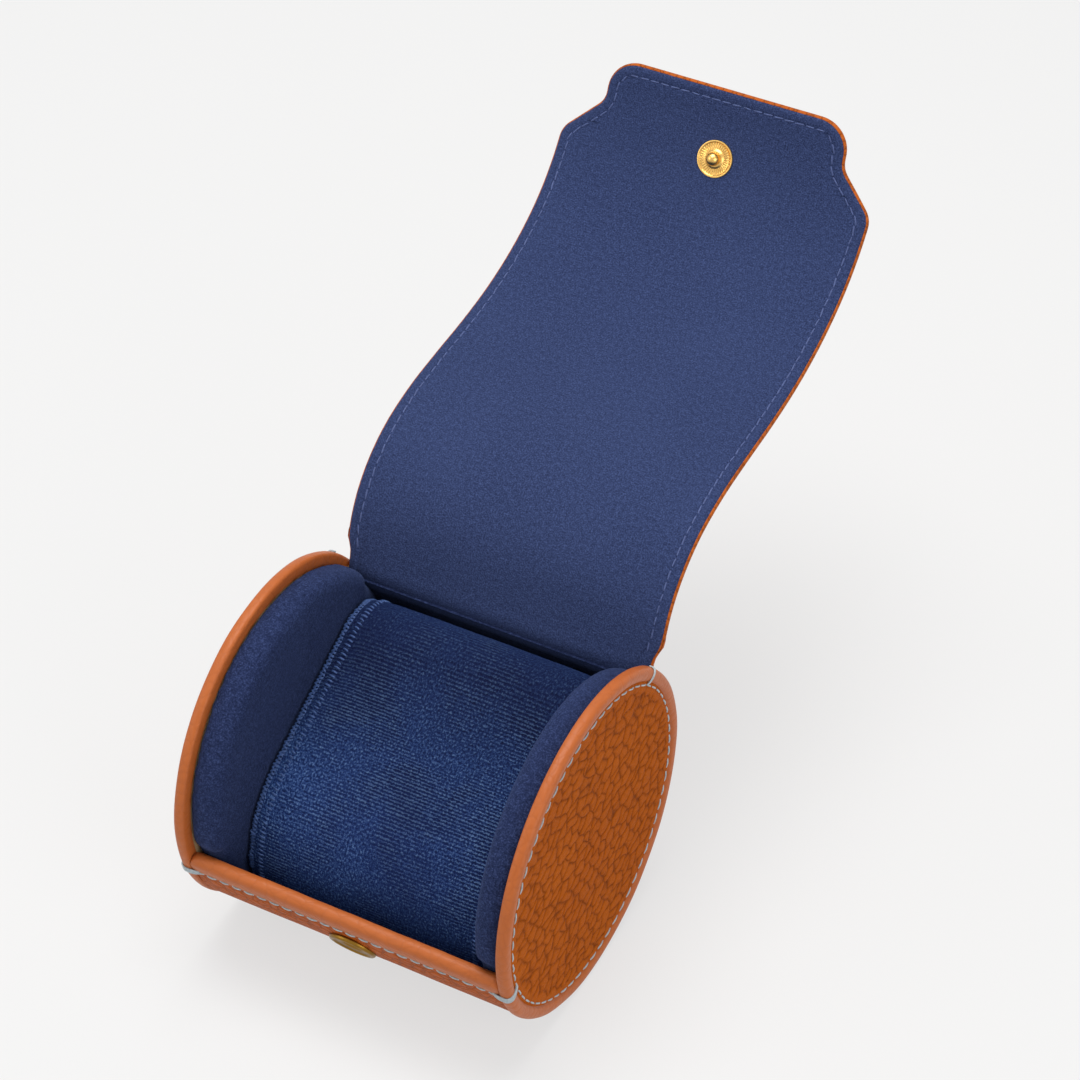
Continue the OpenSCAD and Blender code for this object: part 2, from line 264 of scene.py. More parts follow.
# %% [markdown]
# ## Camera, lamps and floor
# The case lies on a pale table and is seen from above its right front. A long lens flattens
# the view, as in a product photograph. The floor shows the camera a pale tone mixed with its
# real, lit surface, so the table stays even and still carries the soft shadow.

# %% Camera
turn, tilt, distance = math.radians(28.36), math.radians(40.87), 0.772
back = Vector((math.sin(turn) * math.cos(tilt), -math.cos(turn) * math.cos(tilt), math.sin(tilt)))
right = Vector((math.cos(turn), math.sin(turn), 0))
up = back.cross(right)
camera = add_object("camera", bpy.data.cameras.new("camera"))
camera.location = Vector((0, 0, 0.043)) + back * distance + right * 0.02587 + up * 0.05666
camera.rotation_euler = Matrix((right, up, back)).transposed().to_euler()
camera.data.sensor_width = 36
camera.data.lens = 3283 / 1080 * 36
camera.data.clip_start = 0.01
bpy.context.scene.camera = camera
print("camera at", [round(c, 3) for c in camera.location], "lens", round(camera.data.lens, 1))

# %% Floor, world and lamps
bpy.context.scene.view_settings.view_transform = "Standard"
PALE = shade(244, 244, 244)


def pale_where_seen(tree, lit, pale_kind, share, output):
    """Mixes a pale glow into a shader, only as the camera and reflections see it."""
    bench = Bench(tree)
    rays = bench.node("ShaderNodeLightPath").outputs
    seen = bench.math("MAXIMUM", rays["Is Camera Ray"], rays["Is Glossy Ray"])
    pale = bench.node(pale_kind, {"Color": PALE})
    mixed = bench.node("ShaderNodeMixShader", {0: bench.times(seen, share), 1: lit.outputs[0], 2: pale.outputs[0]})
    bench.feed(tree.nodes[output], {"Surface": mixed.outputs[0]})


floor_mesh = bpy.data.meshes.new("floor")
floor_mesh.from_pydata([(-4, -4, 0), (4, -4, 0), (4, 4, 0), (-4, 4, 0)], [], [(0, 1, 2, 3)])
floor = add_object("floor", floor_mesh)
floor.location.z = -0.0001
table_top = Recipe("table top")
floor_mesh.materials.append(table_top.material)
lit = table_top.tree.nodes["Principled BSDF"]
table_top.feed(lit, {"Base Color": (0.66, 0.66, 0.66, 1), "Roughness": 0.9, "Specular IOR Level": 0.0})
pale_where_seen(table_top.tree, lit, "ShaderNodeEmission", 0.7, "Material Output")

world = bpy.data.worlds.new("studio")
bpy.context.scene.world = world
world.use_nodes = True
sky = world.node_tree.nodes["Background"]
sky.inputs["Color"].default_value = grey(1)
sky.inputs["Strength"].default_value = 0.52
pale_where_seen(world.node_tree, sky, "ShaderNodeBackground", 1.0, "World Output")

for name, place, aim, power, tint in (("key", (-0.1, 0.1, 1.15), (0, 0.03, 0.05), 11.5, (1.0, 0.99, 0.97)),
                                      ("right", (1.0, -0.35, 0.5), (0, 0.02, 0.05), 4.2, (1, 1, 1)),
                                      ("left", (-0.8, -0.7, 0.6), (0, 0.02, 0.04), 2.6, (1, 1, 1))):
    lamp = add_object(name, bpy.data.lights.new(name, "AREA"))
    lamp.data.size, lamp.data.energy, lamp.data.color = 0.7, power, tint
    lamp.location = place
    lamp.rotation_euler = (Vector(aim) - Vector(place)).to_track_quat("-Z", "Y").to_euler()
print("lamps and floor set")

# %% [markdown]
# ## Finishes
# Leather is a skin: a base colour that drifts a little, with painted shade darkening its creases, and a soft
# shine. The end caps have a strong pebble, the rolled edges are stretched smooth, and the
# drum is in between. Pebbles are cells with sunken edges, so a cell texture whose place is
# bent by noise draws them. On the caps the creases are real, and tell where their painted shade goes.

# %% Leather
def leather(name, dark, base, light, pebble, depth, rough, smooth, gloss, on_cloth=False, sculpted=False):
    skin = Recipe(name, on_cloth)
    unit = 0.2 if on_cloth else 1.0             # the cloth map is 5 to the metre
    bend = skin.node("ShaderNodeTexNoise", {"Vector": skin.place, "Scale": 140 * unit, "Detail": 2})
    shifted = skin.node("ShaderNodeVectorMath", {0: bend.outputs["Color"], 1: (0.5, 0.5, 0.5)}, operation="SUBTRACT")
    scaled = skin.node("ShaderNodeVectorMath", {0: shifted.outputs[0], "Scale": 0.0026 / unit}, operation="SCALE")
    place = skin.node("ShaderNodeVectorMath", {0: skin.place, 1: scaled.outputs[0]}, operation="ADD").outputs[0]
    squeezed = skin.node("ShaderNodeMapping", {"Vector": place, "Scale": (1.0, 0.85, 1.15)}).outputs[0]

    def cells_of(where, scale, uneven):
        inputs = {"Vector": where, "Scale": scale * unit, "Randomness": uneven}
        return skin.node("ShaderNodeTexVoronoi", inputs, feature="DISTANCE_TO_EDGE").outputs["Distance"]

    cells = cells_of(squeezed, pebble, 0.9)
    dome = skin.math("POWER", skin.times(cells, 2.4, True), 0.55)
    fine = skin.math("POWER", skin.times(cells_of(place, pebble * 2.7, 1.0), 3.0, True), 0.7)
    pores = skin.noise(2200 * unit, 3, 0.6)
    drift = skin.noise(38 * unit, 4, 0.6)
    height = skin.plus(skin.plus(skin.times(dome, 0.78), skin.times(fine, 0.14)), skin.times(pores, 0.10))
    # Painted shade: the colour is mixed towards the dark shade along the creases, read from the crease attribute on
    # the caps and from the cells elsewhere.
    if sculpted:
        crease = skin.times(skin.node("ShaderNodeAttribute", attribute_name="crease").outputs["Fac"], 0.75)
    else:
        crease = skin.ramp(cells, [(0.0, grey(0.8)), (0.05, grey(0.3)), (0.16, grey(0))])
    colour = skin.mix(skin.times(crease, 1.0 - smooth), skin.mix(drift, base, light), dark)
    roughness = skin.plus(skin.times(drift, 0.16), rough - 0.08)
    return skin.finish(colour, skin.bump(height, depth), roughness, Specular_IOR_Level=gloss)


cap_leather = leather("pebbled cap leather", shade(82, 30, 2), shade(160, 76, 14), shade(178, 92, 24),
                      900, 0.0002, 0.62, 0.0, 0.03, sculpted=True)
drum_leather = leather("drum leather", shade(96, 38, 4), shade(160, 72, 9), shade(172, 83, 15),
                       360, 0.0005, 0.5, 0.35, 0.08)
edge_leather = leather("rolled edge leather", shade(120, 54, 18), shade(164, 84, 36), shade(176, 96, 46),
                       300, 0.00012, 0.44, 0.85, 0.25)
flap_leather = leather("flap leather", shade(86, 36, 8), shade(162, 78, 22), shade(180, 94, 34),
                       440, 0.0004, 0.55, 0.35, 0.06, on_cloth=True)
print("leathers:", cap_leather.name, drum_leather.name, edge_leather.name, flap_leather.name)

# %% [markdown]
# Microsuede has a short nap. It scatters light at grazing angles, so it gets sheen, and its
# fibres lie in small tufts that look lighter or darker. The plush of the cushion is knitted:
# fine rows of loops, painted with bright tips as painted highlight and dark gaps as painted shade.

# %% Suede and plush
def suede(name, dark, base, light, on_cloth=False):
    cloth = Recipe(name, on_cloth)
    unit = 0.2 if on_cloth else 1.0
    nap, tufts = cloth.noise(2600 * unit, 3, 0.7), cloth.noise(900 * unit, 2)
    brushed = cloth.math("SUBTRACT", cloth.noise(30 * unit), 0.4, True)
    speck = cloth.plus(cloth.times(nap, 0.8), cloth.times(tufts, 0.2))
    colour = cloth.ramp(speck, [(0.34, dark), (0.5, base), (0.66, light)])
    colour = cloth.mix(cloth.times(brushed, 0.3), colour, light)
    return cloth.finish(colour, cloth.bump(speck, 0.00035, 0.8), 0.95, Specular_IOR_Level=0.08, Sheen_Weight=0.2,
                        Sheen_Roughness=0.4, Sheen_Tint=shade(120, 142, 195))


# The pads and the drum's lining get a darker copy of the flap's microsuede: the darkness is painted shade for their
# place deep inside the drum.
pad_suede_shaded = suede("blue microsuede", shade(18, 25, 50), shade(33, 43, 76), shade(56, 69, 110))
flap_suede = suede("flap microsuede", shade(28, 35, 62), shade(44, 55, 90), shade(66, 80, 122), on_cloth=True)


def plush():
    """Knitted rows run across the cushion. Its back, towards the flap, is painted darker: painted shade where the
    flap shades it.
    """
    cloth = Recipe("ribbed plush", on_cloth=True)
    wave = {"Vector": cloth.place, "Scale": 84, "Distortion": 4.5, "Detail": 3, "Detail Scale": 5.0}
    rows = cloth.node("ShaderNodeTexWave", wave, wave_type="BANDS", bands_direction="Y").outputs["Fac"]
    finer = cloth.node("ShaderNodeMapping", {"Vector": cloth.place, "Scale": (420, 300, 1)}).outputs[0]
    loops = cloth.noise(1.0, 3, 0.75, finer)
    shown = cloth.ramp(cloth.noise(10), [(0.42, grey(0.04)), (0.62, grey(0.34))])
    pile = cloth.plus(cloth.times(rows, shown), cloth.times(loops, cloth.math("SUBTRACT", 1.0, shown)))
    # Painted highlight on the loop tips and painted shade in the gaps between them.
    colour = cloth.ramp(pile, [(0.30, shade(4, 9, 36)), (0.45, shade(20, 39, 88)), (0.56, shade(52, 80, 136)),
                               (0.70, shade(120, 154, 200))])
    deep = cloth.ramp(cloth.noise(5, 3, 0.6), [(0.4, grey(0)), (0.65, grey(0.7))])
    # Painted shade: the back of the cushion, near the flap, is mixed towards a dark navy.
    around = cloth.node("ShaderNodeSeparateXYZ", {"Vector": cloth.place}).outputs["Y"]
    painted_back_shade = cloth.ramp(cloth.plus(around, 0.1), [(0.02, grey(0)), (0.20, grey(0.72))])
    colour = cloth.mix(painted_back_shade, cloth.mix(deep, colour, shade(12, 24, 66)), shade(5, 9, 40))
    return cloth.finish(colour, cloth.bump(pile, 0.0009, 0.9), 0.85, Specular_IOR_Level=0.12, Sheen_Weight=0.3,
                        Sheen_Roughness=0.4, Sheen_Tint=shade(70, 110, 190))


cushion_plush = plush()
print("cloths:", pad_suede_shaded.name, flap_suede.name, cushion_plush.name)

# %% Thread, brass, board and foam
def thread(name, base, light, twist=1700):
    fibres = Recipe(name)
    strands = fibres.noise(twist, 2)
    colour = fibres.mix(strands, base, light)
    return fibres.finish(colour, fibres.bump(strands, 0.0001), 0.6, Specular_IOR_Level=0.35)


def metal(name, base, dark, rough):
    skin = Recipe(name)
    wear = skin.noise(500, 4, 0.6)
    drawn = skin.node("ShaderNodeMapping", {"Vector": skin.place, "Scale": (1, 8, 1)}).outputs[0]
    scratch = skin.noise(2500, 2, 0.5, drawn)
    roughness = skin.plus(skin.times(wear, 0.2), rough - 0.1)
    return skin.finish(skin.mix(skin.times(wear, 0.5), base, dark), skin.bump(scratch, 0.00002), roughness, Metallic=1.0)


def fibre(name, base, light, scale):
    stuff = Recipe(name)
    mat = stuff.noise(scale, 4, 0.7)
    return stuff.finish(stuff.mix(mat, base, light), stuff.bump(mat, 0.0003), 0.9)


pale_thread = thread("pale waxed thread", shade(128, 140, 146), shade(190, 200, 204))
navy_thread = thread("navy thread", shade(36, 46, 84), shade(84, 100, 148))
seam_thread = thread("overlocked seam thread", shade(16, 30, 74), shade(74, 104, 160), 2400)
brass = metal("polished brass", shade(232, 190, 112), shade(180, 132, 60), 0.28)
aged_brass = metal("aged brass", shade(150, 112, 44), shade(66, 50, 18), 0.32)
spring_steel = metal("spring steel", shade(200, 198, 190), shade(120, 120, 116), 0.3)
board = fibre("fibre board", shade(150, 120, 84), shade(186, 158, 120), 900)
foam = fibre("foam", shade(120, 120, 124), shade(160, 160, 165), 1400)
print("thread, metal and filling ready")

# %% [markdown]
# ## Stitches, seams and flutes
# Every sewn line is the same thing many times along a path: a short arched thread that dives
# into the leather at both ends. One Geometry Nodes tree lays it along any line of points.
# Each point carries the direction that is "up" out of the surface, so a stitch lies flat on
# it. The same tree, with its piece turned across the path, makes the overlocked seams of the
# cushion and the radial flutes of the snap.

# %% The stitch tree
def build_stitch_tree():
    bench = Bench(bpy.data.node_groups.new("stitches along a line", "GeometryNodeTree"))
    node, times, add = bench.node, bench.times, bench.tree.interface.new_socket
    add(name="Line", in_out="INPUT", socket_type="NodeSocketGeometry")
    for name, kind, value in (("Count", "Int", 10), ("Length", "Float", 0.0023), ("Thickness", "Float", 0.0006),
                              ("Arch", "Float", 0.0003), ("Turn", "Float", 0.0), ("Unevenness", "Float", 0.1),
                              ("Seed", "Int", 7)):
        add(name=name, in_out="INPUT", socket_type="NodeSocket" + kind).default_value = value
    add(name="Finish", in_out="INPUT", socket_type="NodeSocketMaterial")
    add(name="Stitches", in_out="OUTPUT", socket_type="NodeSocketGeometry")
    given = node("NodeGroupInput").outputs
    half, dive = times(given["Length"], 0.5), times(given["Arch"], -1.0)
    start = node("ShaderNodeCombineXYZ", {"X": times(half, -1.0), "Z": dive}).outputs[0]
    middle = node("ShaderNodeCombineXYZ", {"Z": times(given["Arch"], 1.3)}).outputs[0]
    end = node("ShaderNodeCombineXYZ", {"X": half, "Z": dive}).outputs[0]
    arc = node("GeometryNodeCurveQuadraticBezier", {"Resolution": 6, "Start": start, "Middle": middle, "End": end})
    circle = node("GeometryNodeCurvePrimitiveCircle", {"Resolution": 6, "Radius": times(given["Thickness"], 0.5)})
    one = node("GeometryNodeCurveToMesh", {"Curve": arc.outputs[0], "Profile Curve": circle.outputs[0], "Fill Caps": True})
    line = node("GeometryNodeMeshToCurve", {"Mesh": given["Line"]})
    spaced = node("GeometryNodeResampleCurve", {"Curve": line.outputs[0], "Count": given["Count"]})
    tangent = node("GeometryNodeInputTangent").outputs[0]
    up_way = node("GeometryNodeInputNamedAttribute", {"Name": "up"}, data_type="FLOAT_VECTOR").outputs[0]
    along = node("FunctionNodeAlignRotationToVector", {"Vector": tangent}, axis="X")
    flat = node("FunctionNodeAlignRotationToVector", {"Rotation": along.outputs[0], "Vector": up_way},
                axis="Z", pivot_axis="X")
    jitter = node("FunctionNodeRandomValue", {2: -1.0, 3: 1.0, "Seed": given["Seed"]}, data_type="FLOAT")
    uneven = times(jitter.outputs[1], given["Unevenness"])
    angle = bench.plus(uneven, given["Turn"])
    spin = node("FunctionNodeAxisAngleToRotation", {"Axis": (0, 0, 1), "Angle": angle})
    turned = node("FunctionNodeRotateRotation", {"Rotation": flat.outputs[0], "Rotate By": spin.outputs[0]},
                  rotation_space="LOCAL")
    placed = node("GeometryNodeInstanceOnPoints", {"Points": spaced.outputs[0], "Instance": one.outputs[0],
                                                   "Rotation": turned.outputs[0], "Scale": bench.plus(uneven, 1.0)})
    real = node("GeometryNodeRealizeInstances", {"Geometry": placed.outputs[0]})
    smooth = node("GeometryNodeSetShadeSmooth", {"Geometry": real.outputs[0]})
    painted = node("GeometryNodeSetMaterial", {"Geometry": smooth.outputs[0], "Material": given["Finish"]})
    node("NodeGroupOutput", {"Stitches": painted.outputs[0]})
    return bench.tree


stitch_tree = build_stitch_tree()


def lay(name, lines, finish, slot, count, closed=False, **sizes):
    """Runs the stitch tree along lines of (point, up) pairs and returns one plain mesh object."""
    verts, ups, edges = [], [], []
    for line in lines:
        first = len(verts)
        verts += [tuple(p) for p, _ in line]
        ups += [tuple(u) for _, u in line]
        edges += [(i, i + 1) for i in range(first, len(verts) - 1)]
        if closed:
            edges.append((len(verts) - 1, first))
    mesh = bpy.data.meshes.new(name + " line")
    mesh.from_pydata(verts, edges, [])
    mesh.attributes.new("up", "FLOAT_VECTOR", "POINT").data.foreach_set("vector", np.array(ups, np.float32).ravel())
    carrier = add_object(name + " line", mesh)
    modifier = carrier.modifiers.new("stitches", "NODES")
    modifier.node_group = stitch_tree
    wanted = {"Count": count, "Finish": finish, **{key.capitalize(): value for key, value in sizes.items()}}
    for item in stitch_tree.interface.items_tree:
        if item.in_out == "INPUT" and item.name in wanted:
            modifier[item.identifier] = wanted[item.name]
    made = baked(carrier)
    bpy.data.objects.remove(carrier)
    made.name = name
    piece = add_object(name, made)
    outward(made)
    return piece


print("stitch tree has", len(stitch_tree.nodes), "nodes")

# %% [markdown]
# ## The drum
# The wall is leather over board. Where the leather is pulled round into the end caps it
# gathers into small soft folds. The grid follows the wall from the lip, under the drum, to
# the hinge, and both edges curl down into the crease beside the caps. Under the snap the
# leather is cut out, which a pit in the grid stands for.

# %% Drum leather
def soft_noise(x, y, seed, size):
    """Smooth noise from a few sine waves, the same on every run."""
    rng = np.random.default_rng(seed)
    total = np.zeros_like(np.asarray(x, float))
    for _ in range(9):
        angle, phase, k = rng.uniform(0, 2 * math.pi), rng.uniform(0, 2 * math.pi), rng.uniform(0.6, 1.7) / size
        total += np.sin(2 * math.pi * k * (x * math.cos(angle) + y * math.sin(angle)) + phase)
    return total / 4.5


def wall_sheet(outer, inner, rows, cols, dressed):
    """A closed curved sheet from the lip to the hinge. Dressed leather has folds, and the snap's hole."""
    t = np.linspace(-1, 1, cols)
    across = WALL_HALF * np.sign(t) * (1 - (1 - np.abs(t)) ** 1.35)
    arc, x = np.meshgrid(np.radians(np.linspace(LIP_A, WALL_BACK_A, rows)), across, indexing="ij")
    out_r, in_r = np.full(x.shape, float(outer)), np.full(x.shape, float(inner))
    if dressed:
        length, near_end = arc * outer, WALL_HALF - np.abs(x)
        out_r += 0.16 * np.exp(-near_end / 3.2) * soft_noise(length, x * 0.12, 5, 3.6)
        out_r += 0.06 * soft_noise(length, x, 11, 30) - 0.35 * dip(near_end, 0.8)
        pit = 1 - smoothstep(2.6, 3.8, np.hypot(x, (arc - math.radians(SNAP_A)) * outer))
        out_r -= 2.5 * pit
        in_r -= 1.8 * pit
    verts = [np.stack([x, r * np.cos(arc), r * np.sin(arc)], -1).reshape(-1, 3) for r in (out_r, in_r)]
    return to_frame(np.concatenate(verts)), sheet_faces(rows, cols)


wall = make_piece("drum_wrap", *wall_sheet(LEATHER_R - 0.1, 41.4, 300, 72, True), drum_leather, "drum_leather")
fit(wall, "drum", "drum_leather")
lining = make_piece("drum_suede", *wall_sheet(39.8, INNER_R, 120, 20, False), pad_suede_shaded, "lining")
fit(lining, "drum", "drum_lining")

# %% [markdown]
# The front edge is a lip: leather rolled over a thin cord, so it is a smooth bead. Its ends
# round down to meet the caps. The bead runs out into the drum's leather just where the
# thread line is.

# %% Front lip
BEAD_MIDDLE, BEAD_R = 41.0, 1.9


def sweep_lip():
    """The bead's section is (r, mm of arc past the lip's flat), from inside to outside."""
    section = [(INNER_R, -0.9), (INNER_R, 0.0)]
    section += [(BEAD_MIDDLE - BEAD_R * math.cos(t), BEAD_R * 1.02 * math.sin(t)) for t in np.linspace(0, math.pi, 15)[1:-1]]
    section += [(42.92, 0.0), (42.9, -0.8), (42.82, -1.6), (42.7, -2.3), (42.55, -2.9), (42.3, -3.2), (41.5, -3.0)]
    xs = [-WALL_HALF + d for d in (0.0, 0.12, 0.35, 0.7, 1.2, 1.9, 2.8)]
    xs = xs + list(np.linspace(-37, 37, 45)) + [-x for x in reversed(xs)]
    verts = []
    for x in xs:
        near = min((WALL_HALF - abs(x)) / BEAD_R, 1)
        full = math.sqrt(max(0.0, 1 - (1 - near) ** 2))
        lift = 0.07 * math.sin(x * 0.31 + 1.0) + 0.05 * math.sin(x * 0.83)
        for r, s in section:
            rise = s * (0.35 + 0.65 * full) + lift if s > 0 else s
            r_here = BEAD_MIDDLE + (r - BEAD_MIDDLE) * (0.86 + 0.14 * full)
            verts.append((x, *polar(r_here, LIP_A - math.degrees(rise / BEAD_MIDDLE))))
    return to_frame(verts), tube_faces(len(xs), len(section))


fit(make_piece("lip_roll", *sweep_lip(), edge_leather, "edge_leather", 60), "drum", "front_lip")
sewn_a = LIP_A + math.degrees(3.3 / LEATHER_R)
line = [(to_frame([x, *polar(42.62, sewn_a)]), (0, *polar(1, sewn_a))) for x in np.linspace(-39.4, 39.4, 60)]
lip_thread = lay("lip_thread", [line], pale_thread, "thread", 24, length=0.0025, thickness=0.00048, arch=0.0002,
                 unevenness=0.08)
fit(lip_thread, "drum", "lip_stitches")

# %% [markdown]
# ## End caps
# A cap is pebbled leather on board, held by a rolled rim of smoother leather. The rim is a
# turned shape: one section spun round the axis. Between rim and face is a sunk crease, and a
# ring of pale stitches lies just inside it. The pebbles are large enough to be real: each is
# a low dome, as high as its distance from the crease that goes round it allows.

# %% Rims and caps
RIM_SECTION = [(39.6, 41.0), (41.0, 41.0), (42.2, 41.02), (42.75, 41.2), (42.95, 41.6), (43.0, 42.1), (42.98, 42.7),
               (42.86, 43.2), (42.6, 43.6), (42.2, 43.86), (41.7, 43.98), (41.2, 44.0), (40.7, 43.94), (40.25, 43.78),
               (39.95, 43.55), (39.82, 43.3), (39.6, 43.2)]


def rolled_rim(side, segments=192):
    """Spins the rim's section round the drum. side is -1 for the left end and 1 for the right."""
    verts = []
    for a in 2 * math.pi * np.arange(segments) / segments:
        for r, x in RIM_SECTION:
            r, x = (r - 0.08 if r > 42 else r), x - 0.03
            if x > 41.5 and r > 40:
                r, x = r + 0.05 * math.sin(7 * a + side) + 0.03 * math.sin(17 * a), x + 0.03 * math.sin(11 * a + side)
            verts.append((side * x, r * math.cos(a), r * math.sin(a)))
    return to_frame(verts), grid_faces(segments, len(RIM_SECTION), wrap_rows=True, wrap_cols=True)


def pebbles(x, y, spacing, seed):
    """How far each point lies from the crease round its pebble (mm). The pebbles are uneven cells."""
    rng = np.random.default_rng(seed)
    lines = np.arange(-42, 42.1, spacing)
    px, py = np.meshgrid(lines, lines * 1.1)
    px[::2] += spacing / 2
    px = px.ravel() + rng.uniform(-0.5, 0.5, px.size) * spacing
    py = py.ravel() + rng.uniform(-0.5, 0.5, py.size) * spacing
    gap = np.zeros(len(x))
    for k in range(0, len(x), 3000):
        far = np.hypot(x[k:k + 3000, None] - px, y[k:k + 3000, None] - py)
        near = np.partition(far, 1, axis=1)[:, :2]
        gap[k:k + 3000] = near.max(axis=1) - near.min(axis=1)
    return gap


def cap_face(side, segments=560):
    """The points and faces of a cap, and how deep in a crease each point lies, from 0 to 1, which sets its painted
    crease shade.
    """
    rings = np.concatenate([np.linspace(0.4, 37.2, 96), np.linspace(37.6, 39.9, 14)])
    r, a = np.meshgrid(rings, np.linspace(0, 2 * math.pi, segments, endpoint=False), indexing="ij")
    r, y, z = r.ravel(), (r * np.cos(a)).ravel(), (r * np.sin(a)).ravel()
    bent_y, bent_z = y + 0.5 * soft_noise(y, z, 41 + side, 6), z + 0.5 * soft_noise(y, z, 51 + side, 6)
    gap = pebbles(bent_y * 0.76, bent_z * 1.06, 3.1, 7 + side)
    finer = pebbles(bent_y + 0.4, bent_z, 1.7, 17 + side)
    open_face = np.clip((38.0 - r) / 1.2, 0.25, 1)
    dome = 0.38 * (1 - np.exp(-gap / 0.75)) + 0.05 * (1 - np.exp(-finer / 0.4))
    # How deep in a crease each point lies; the cap leather paints shade there from it.
    crease = np.clip(np.exp(-gap / 0.36) + 0.2 * np.exp(-finer / 0.2), 0, 1) * open_face
    groove = 0.16 * dip(r - SEW_RING_R, 0.5) + 0.5 * dip(r - 40.0, 0.55)
    swell = 0.06 * np.sin(0.07 * y + 1) * np.cos(0.09 * z) * (1 - (r / 40) ** 4)
    x = 43.55 - groove + swell + (dome - 0.36) * open_face
    rim = [(side * 42.2, *polar(39.9, 360 * i / segments)) for i in range(segments)]
    verts = np.concatenate([np.stack([side * x, y, z], -1), [(side * 43.5, 0, 0)], rim])
    rows, centre = len(rings), len(rings) * segments
    last, base = centre - segments, centre + 1
    faces = grid_faces(rows, segments, wrap_cols=True)
    faces += [(i, (i + 1) % segments, centre) for i in range(segments)]
    faces += [(last + i, last + (i + 1) % segments, base + (i + 1) % segments, base + i) for i in range(segments)]
    faces.append(tuple(base + i for i in range(segments)))
    return to_frame(verts), faces, np.concatenate([crease, np.zeros(segments + 1)])


for side, word in ((-1, "left"), (1, "right")):
    rim = make_piece(word + "_rim_roll", *rolled_rim(side), edge_leather, "edge_leather", 60)
    fit(rim, "drum", word + "_rim")
    verts, faces, crease = cap_face(side)
    cap = make_piece(word + "_cap_face", verts, faces, cap_leather, "cap_leather", 60)
    # The crease depth goes to the leather, which paints shade in the creases from it.
    cap.data.attributes.new("crease", "FLOAT", "POINT").data.foreach_set("value", crease.astype(np.float32))
    fit(cap, "drum", word + "_cap_leather")
    ring = [(to_frame([side * 43.44, *polar(SEW_RING_R, 360 * i / 256 + 1)]), (side, 0, 0)) for i in range(256)]
    thread_ring = lay(word + "_ring_thread", [ring], pale_thread, "thread", 64, closed=True, length=0.0027,
                      thickness=0.00046, arch=0.0002, unevenness=0.05)
    fit(thread_ring, "drum", word + "_ring_stitches")

# %% [markdown]
# ## The flap
# The flap is one sheet of leather with a padded suede lining, and it bends everywhere, not
# only at the frame's hinges. So it is drawn flat first, as a grid that follows its outline,
# and then laid on a smooth line through the middles of the frame's stretches. It is cut at
# those middles, so each strip spans the bend between the two stretches it joins.

# %% The flap's line and outline
BEND_R = 45.7                                   # the closed sheet's middle, round the drum
SEG = 2 * BEND_R * math.sin(math.radians((SNAP_A - 40) / 9.5 / 2))
OPEN_DIR = [67, 40, 17, 6, 4, 9, 18, 29, 45, 61, 74]
FLAP_L, TAB_ROOT, HALF_W, TAB_HALF = 152.6, 141.4, 42.4, 32.5
BASE_S = -11.0                                  # where the sheet starts, behind the first hinge
STRAIGHT_S = 126.0                              # up to here the sides are straight
SEW_IN = 2.95                                   # stitch line, in from the edge
bends = [Vector(polar(BEND_R, 40))]
for direction in OPEN_DIR:
    bends.append(bends[-1] + Vector(polar(SEG, direction)))


def bezier(points, t):
    """Point and direction on a curve of three or four control points."""
    pts = [Vector(p) for p in points]
    while len(pts) > 2:
        pts = [a.lerp(b, t) for a, b in zip(pts, pts[1:])]
    return pts[0].lerp(pts[1], t), (pts[1] - pts[0]).normalized()


def flap_line(s):
    """Place and direction of the sheet's middle at s mm from the hinge, in the (y, z) plane."""
    if s < 0:
        foot, corner = Vector(polar(40.95, 29.5)), Vector(polar(40.95, 36.4))
        return bezier((foot, foot.lerp(corner, 0.9), bends[0].lerp(corner, 0.9), bends[0]), 1 - s / BASE_S)
    middle = s / SEG - 0.5
    if middle <= 0 or middle >= 10:
        k = 0 if middle <= 0 else 10
        way = Vector(polar(1, OPEN_DIR[k]))
        return bends[k] + way * (s - k * SEG), way
    k = int(middle) + 1
    before, after = Vector(polar(SEG / 2, OPEN_DIR[k - 1])), Vector(polar(SEG / 2, OPEN_DIR[k]))
    return bezier((bends[k] - before, bends[k], bends[k] + after), middle - (k - 1))


def outline_half():
    slope = TAB_ROOT - (HALF_W - TAB_HALF) - 6 * math.tan(math.radians(22.5))
    points = [(HALF_W, 2.6), (HALF_W, slope)]
    points += [(HALF_W - 6 + 6 * math.cos(t), slope + 6 * math.sin(t)) for t in np.linspace(0.05, math.pi / 4, 7)]
    points += [(33.9, 140.0), (33.3, 140.75), (32.85, 141.6), (32.6, 142.5), (32.5, 143.4)]
    corner = np.linspace(0.05, math.pi / 2, 12)
    points += [(TAB_HALF - 8 + 8 * math.cos(t), FLAP_L - 8 + 8 * math.sin(t)) for t in corner]
    return np.array(points)


OUTLINE = outline_half()


def half_width(s):
    """Half of the flap's width at s. Low down it narrows, to pass between the rims."""
    wide = np.interp(s, OUTLINE[:, 1], OUTLINE[:, 0])
    return min(wide, 40.85 + 1.55 * float(smoothstep(-1.5, 3.5, s)))


EDGE = np.array([(half_width(v), v) for v in np.arange(-40, STRAIGHT_S, 3.0)]
                + [tuple(p) for p in OUTLINE if p[1] > STRAIGHT_S] + [(0.0, FLAP_L)])


def edge_distance(x, s):
    """Distance from a point of the flat flap to its cut edge."""
    a, ab = EDGE[:-1], EDGE[1:] - EDGE[:-1]
    p = np.stack([np.abs(x), s], -1)[..., None, :]
    t = np.clip(((p - a) * ab).sum(-1) / (ab * ab).sum(-1), 0, 1)
    return np.sqrt((((a + ab * t[..., None]) - p) ** 2).sum(-1)).min(-1)


INSETS = [0, 0.05, 0.14, 0.3, 0.5, 0.7, 0.95, 1.25, 1.6, 2.1, 2.55, 2.8, 3.05, 3.3, 3.8]


